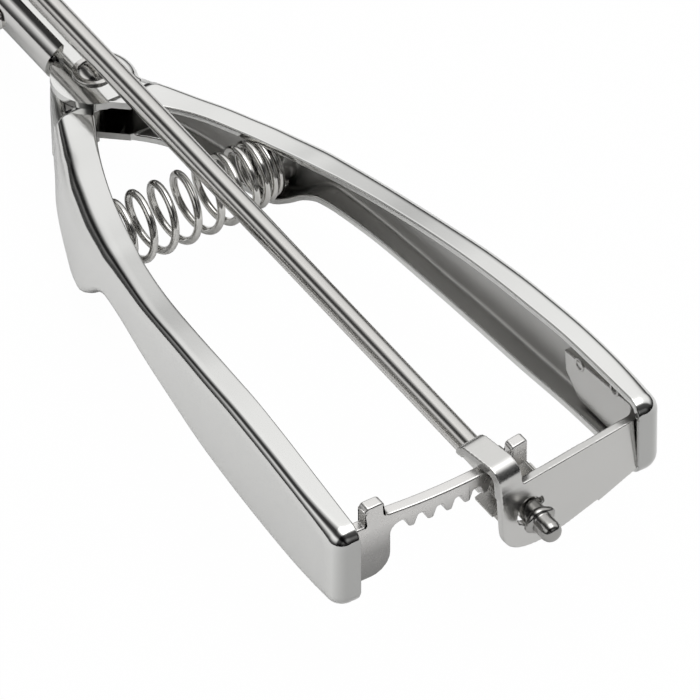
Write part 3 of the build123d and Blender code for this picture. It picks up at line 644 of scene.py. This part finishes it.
def bowed_rack():
    """The rack cut from a flat outline, thickened and bowed about the pivot."""
    bm = bmesh.new()
    bm.faces.new([bm.verts.new((0, p.x, p.y)) for p in rounded(rack_corners())])
    for k in range(21):
        bmesh.ops.bisect_plane(bm, geom=bm.verts[:] + bm.edges[:] + bm.faces[:],
                               plane_co=(0, -37 + 2 * k, 0), plane_no=(0, 1, 0))
    made = bmesh.ops.extrude_face_region(bm, geom=bm.faces[:])
    for item in made["geom"]:
        if isinstance(item, bmesh.types.BMVert):
            item.co.x = -rack_thick
    for vert in bm.verts:
        vert.co = at(bow(vert.co.y) + vert.co.x, vert.co.y, vert.co.z)
    bmesh.ops.recalc_face_normals(bm, faces=bm.faces)
    obj = new_object("rack_bar", mesh_of(bm, "rack_bar"), "rack")
    edge_round(obj, 0.42, angle=50, segments=4, clamp=False)
    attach(obj, "lever")
    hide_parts("rack")


# ------------------------------------------------------------------ rod and bracket
rod_radius = 2.3
wing_turn = math.radians(20)        # where the collar's two crimped wings stand
wing_spread = 0.42

# X, radius and height of the wings: chamfered start, crimped collar, pin and round nose.
rod_start = [(-39.0, 2.05, 0), (-38.93, 2.2, 0), (-38.75, rod_radius, 0),
             (-38.5, rod_radius, 0)]
rod_shaft = [(-38.0 + 4.7 * k, rod_radius, 0) for k in range(41)]
rod_collar = [(150.9, rod_radius, 0), (151.0, rod_radius, 0), (151.1, 2.38, 0.25),
              (151.25, 2.55, 0.5), (151.5, 2.65, 0.6), (152.1, 2.65, 0.6),
              (152.35, 2.55, 0.5), (152.5, 2.38, 0.25), (152.58, 2.2, 0), (152.7, 2.12, 0)]
rod_nose = [(152.9, 2.1, 0), (154.2, 2.1, 0), (155.5, 2.1, 0), (155.62, 2.08, 0),
            (155.68, 2.02, 0), (155.8, 2.0, 0), (156.1, 1.93, 0), (156.35, 1.8, 0),
            (156.6, 1.58, 0), (156.8, 1.28, 0), (156.93, 0.9, 0), (156.99, 0.45, 0),
            (157.0, 0.1, 0)]

bore_middle = (148.0, rod_line.y - 0.25, rod_line.z - 0.1)
bore_radius, bore_depth = 2.8, 6.0
trim_middle = (136.2, -8.0, -1.0)   # box that trims the rear plate on the rack's side
trim_size = (5.6, 9.4, 18.6)
voxel = 0.00016                     # m, grid of the bracket's softened skin
weld_places = [(124.5, 25.93, 3.2), (135.6, 26.2, 5.6)]
weld_ring = 0.00115         # m, radius of a weld's rim and of its section
weld_wire = 0.00028


def turned_rod(sides=64):
    """The rod turned from its rows, with two wings where its collar is crimped."""
    bm = bmesh.new()
    rings = []
    for x, radius, wing in rod_start + rod_shaft + rod_collar + rod_nose:
        ring = []
        for k in range(sides):
            turn = 2 * math.pi * k / sides
            away = math.sin(turn - wing_turn)
            reach = radius + wing * math.exp(-(away / wing_spread) ** 2)
            ring.append(bm.verts.new(at(x, rod_line.y + reach * math.cos(turn),
                                        rod_line.z + reach * math.sin(turn))))
        rings.append(ring)
    bridged(bm, rings)
    bm.faces.new(rings[0])
    bm.faces.new(list(reversed(rings[-1])))
    bmesh.ops.recalc_face_normals(bm, faces=bm.faces)
    obj = new_object("rod_turned", mesh_of(bm, "rod_turned"), "scraper_rod")
    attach(obj, "scraper")
    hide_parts("scraper_rod")


def soft_bracket():
    """The bracket with soft edges, a wide hole round the rod's end and its rear plate
    trimmed on the rack's side."""
    bm = bmesh.new()
    bore = Matrix.Translation(at(*bore_middle)) @ Matrix.Rotation(math.pi / 2, 4, "Y")
    bmesh.ops.create_cone(bm, cap_ends=True, segments=48, radius1=bore_radius / 1000,
                          radius2=bore_radius / 1000, depth=bore_depth / 1000, matrix=bore)
    trim = Matrix.Diagonal((*[size / 1000 for size in trim_size], 1))
    bmesh.ops.create_cube(bm, size=1, matrix=Matrix.Translation(at(*trim_middle)) @ trim)
    mesh = combined(plain_mesh("gear_bracket"), mesh_of(bm, "cutter"), "DIFFERENCE")
    obj = new_object("gear_bracket_soft", mesh, "gear_bracket")
    skin = obj.modifiers.new("skin", "REMESH")
    skin.mode = "VOXEL"
    skin.voxel_size = voxel
    skin.use_smooth_shade = True
    soft = obj.modifiers.new("soft", "SMOOTH")
    soft.factor = 0.5
    soft.iterations = 9
    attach(obj, bodies.get("gear_bracket", "frame"))
    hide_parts("gear_bracket")


def weld_rims():
    """Raised rims of the two spot welds on the bracket's leg."""
    bm = bmesh.new()
    across = Vector((0, 1, 0))
    for place in weld_places:
        rings = []
        for k in range(24):
            turn = 2 * math.pi * k / 24
            out = Vector((math.cos(turn), 0, math.sin(turn)))
            rings.append(circle(bm, at(*place) + out * weld_ring, out, across, weld_wire, 8))
        bridged(bm, rings, closed=True)
    bmesh.ops.recalc_face_normals(bm, faces=bm.faces)
    obj = new_object("weld_rims", mesh_of(bm, "weld_rims"), "gear_bracket")
    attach(obj, "frame")


# ------------------------------------------------------------------ spring
wire = 0.00075              # m, radius of the spring's wire
coil_ends = [-22.3, -21.1, -19.7, -17.1, -13.0, -8.4, -3.4, 1.6, 6.0, 9.6, 12.4, 14.6, 16.2,
             17.3]          # Y where each turn starts, and where the last one ends
coil_walls = (-22.7, 18.0)  # Y of the walls near which the coils narrow, over coil_taper
coil_taper = 9.0
coil_end_radius, coil_radius = 4.95, 6.15
coil_middle = (35.4, -12.2)             # X and Z of the coils' axis
coil_lean = 1.6                         # how far the last coils shift towards the pivot
lean_from, lean_over = 4.0, 13.0        # Y where that starts, and over how much it grows
seat_middle = (34.0, -12.45)            # X and Z of the moving handle's spring seat
seat_share = 0.78                       # how wide the seat stays, inside the wide shoulder


def tube(points, radius, sides=14):
    """Round wire along a list of points, closed at both ends by a flat face."""
    bm = bmesh.new()
    rings = []
    normal = None
    for index, point in enumerate(points):
        before = points[max(index - 1, 0)]
        after = points[min(index + 1, len(points) - 1)]
        along = (after - before).normalized()
        if normal is None:
            normal = along.orthogonal().normalized()
        normal = (normal - along * normal.dot(along)).normalized()
        rings.append(circle(bm, point, normal, along.cross(normal), radius, sides))
    bridged(bm, rings)
    bm.faces.new(list(reversed(rings[0])))
    bm.faces.new(rings[-1])
    return bm


def spring_points(steps=40):
    """Centre line of the spring from the moving handle's wall to the fixed one's."""
    points = []
    for near, beyond in zip(coil_ends, coil_ends[1:]):
        for k in range(steps):
            y = near + (beyond - near) * k / steps
            free = min((y - coil_walls[0]) / coil_taper, (coil_walls[1] - y) / coil_taper, 1)
            wider = (coil_radius - coil_end_radius) * max(free, 0) ** 0.7
            radius = coil_end_radius + wider
            lean = coil_lean * max((y - lean_from) / lean_over, 0) ** 1.6
            turn = 2 * math.pi * k / steps
            points.append(at(coil_middle[0] - lean + radius * math.cos(turn), y,
                             coil_middle[1] + radius * math.sin(turn)))
    return points


def spring_coil():
    """The spring, which stretches between the two handles."""
    mesh = mesh_of(tube(spring_points(), wire), "spring_coil")
    spring = new_object("spring_coil", mesh, "return_spring")
    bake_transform(spring)
    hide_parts("return_spring")


def slim_seat():
    """The moving handle's spring seat, slim enough to stay inside the wide shoulder."""
    seat = softened("left_spring_seat", 0.15)
    middle = at(seat_middle[0], 0, seat_middle[1])
    for vert in seat.data.vertices:
        vert.co.x = middle.x + (vert.co.x - middle.x) * seat_share
        vert.co.z = middle.z + (vert.co.z - middle.z) * seat_share


# ------------------------------------------------------------------ floor, light, camera
height_stops = [(0.0, 0.05), (0.10, 0.06), (0.20, 0.22), (0.33, 0.68), (0.44, 0.97),
                (0.75, 1.1), (0.84, 1.2), (0.93, 3.4), (1.0, 3.8)]
along_stops = [(0.0, 1.0), (0.3, 0.9), (0.45, 0.1), (0.75, 0.06), (0.9, 0.4)]
gap_stops = [(0.20, 1.0), (0.33, 0.22), (0.38, 0.04), (0.52, 0.04), (0.59, 0.35),
             (0.68, 1.0)]

distance = 4.0              # m, from the camera to its target
seen_width = 0.12727        # m, width of the picture at the target
sensor = 36.0


def floor(size=1.2, z=-0.0002):
    """Plain pale floor that the camera sees as nearly even paper. Sizes in m."""
    half = size / 2
    mesh = bpy.data.meshes.new("floor")
    mesh.from_pydata([(-half, -half, z), (half, -half, z), (half, half, z), (-half, half, z)],
                     [], [(0, 1, 2, 3)])
    obj = bpy.data.objects.new("floor", mesh)
    bpy.context.scene.collection.objects.link(obj)
    paper, tree, shader = new_material("floor_paper")
    shader.inputs["Base Color"].default_value = (0.92, 0.92, 0.92, 1)
    shader.inputs["Roughness"].default_value = 0.9
    shader.inputs["Specular IOR Level"].default_value = 0.0
    glow = add(tree, "ShaderNodeEmission", Strength=1.0)
    share = add(tree, "ShaderNodeMath", operation="MULTIPLY")
    share.inputs[1].default_value = 0.985
    ray = add(tree, "ShaderNodeLightPath")
    tree.links.new(ray.outputs["Is Camera Ray"], share.inputs[0])
    mix = add(tree, "ShaderNodeMixShader")
    tree.links.new(share.outputs[0], mix.inputs["Fac"])
    tree.links.new(shader.outputs[0], mix.inputs[1])
    tree.links.new(glow.outputs[0], mix.inputs[2])
    tree.links.new(mix.outputs[0], tree.nodes["Material Output"].inputs["Surface"])
    mesh.materials.append(paper)


def studio():
    """Light from above and from the bowl's end, in two soft boxes along the object with a
    dark gap between them on its left. The camera itself sees white."""
    world = bpy.data.worlds.new("studio")
    bpy.context.scene.world = world
    world.use_nodes = True
    tree = world.node_tree
    links = tree.links
    tree.nodes.clear()
    place = add(tree, "ShaderNodeTexCoord")
    axes = add(tree, "ShaderNodeSeparateXYZ")
    links.new(place.outputs["Generated"], axes.inputs[0])
    height = ramp(tree, axes.outputs["Z"], height_stops)
    along = ramp(tree, axes.outputs["X"], along_stops)

    least_height = add(tree, "ShaderNodeMath", operation="MAXIMUM")
    least_height.inputs[1].default_value = 0.03
    links.new(axes.outputs["Z"], least_height.inputs[0])
    lean = add(tree, "ShaderNodeMath", operation="DIVIDE")
    links.new(axes.outputs["Y"], lean.inputs[0])
    links.new(least_height.outputs[0], lean.inputs[1])
    gap = ramp(tree, mapped(tree, lean.outputs[0], -2.0, 1.0), gap_stops)

    sky = add(tree, "ShaderNodeBackground")
    links.new(multiplied(tree, multiplied(tree, height, along), gap), sky.inputs["Color"])
    white = add(tree, "ShaderNodeBackground", Strength=1.0)
    white.inputs["Color"].default_value = (1, 1, 1, 1)
    ray = add(tree, "ShaderNodeLightPath")
    mix = add(tree, "ShaderNodeMixShader")
    links.new(ray.outputs["Is Camera Ray"], mix.inputs["Fac"])
    links.new(sky.outputs[0], mix.inputs[1])
    links.new(white.outputs[0], mix.inputs[2])
    output = add(tree, "ShaderNodeOutputWorld")
    links.new(mix.outputs[0], output.inputs["Surface"])


def photo_camera():
    """Camera at the photograph's angle, far away because its view is nearly parallel."""
    camera = bpy.data.objects.new("camera", bpy.data.cameras.new("camera"))
    bpy.context.scene.collection.objects.link(camera)
    to_camera = Vector((0.6185, -0.398, 0.6775)).normalized()
    camera.location = at(95.3, -4.3, 0.0) + to_camera * distance
    up = Vector((-0.570, 0.367, 0.7355)).normalized()
    right = Vector((0.541, 0.841, 0.0)).normalized()
    camera.rotation_euler = Matrix((right, up, to_camera)).transposed().to_euler()
    camera.data.sensor_width = sensor
    camera.data.lens = sensor * distance / seen_width
    camera.data.clip_start = 0.5
    camera.data.clip_end = 30.0
    bpy.context.scene.camera = camera


# ------------------------------------------------------------------ the scene
formed_handle("left_handle", -1)
formed_handle("right_handle", 1)
bowed_rack()
turned_rod()
soft_bracket()
weld_rims()
for name, width in soft_edges.items():
    softened(name, width)
slim_seat()
spring_coil()
floor()
studio()
photo_camera()
bpy.context.scene.view_settings.view_transform = "Standard"
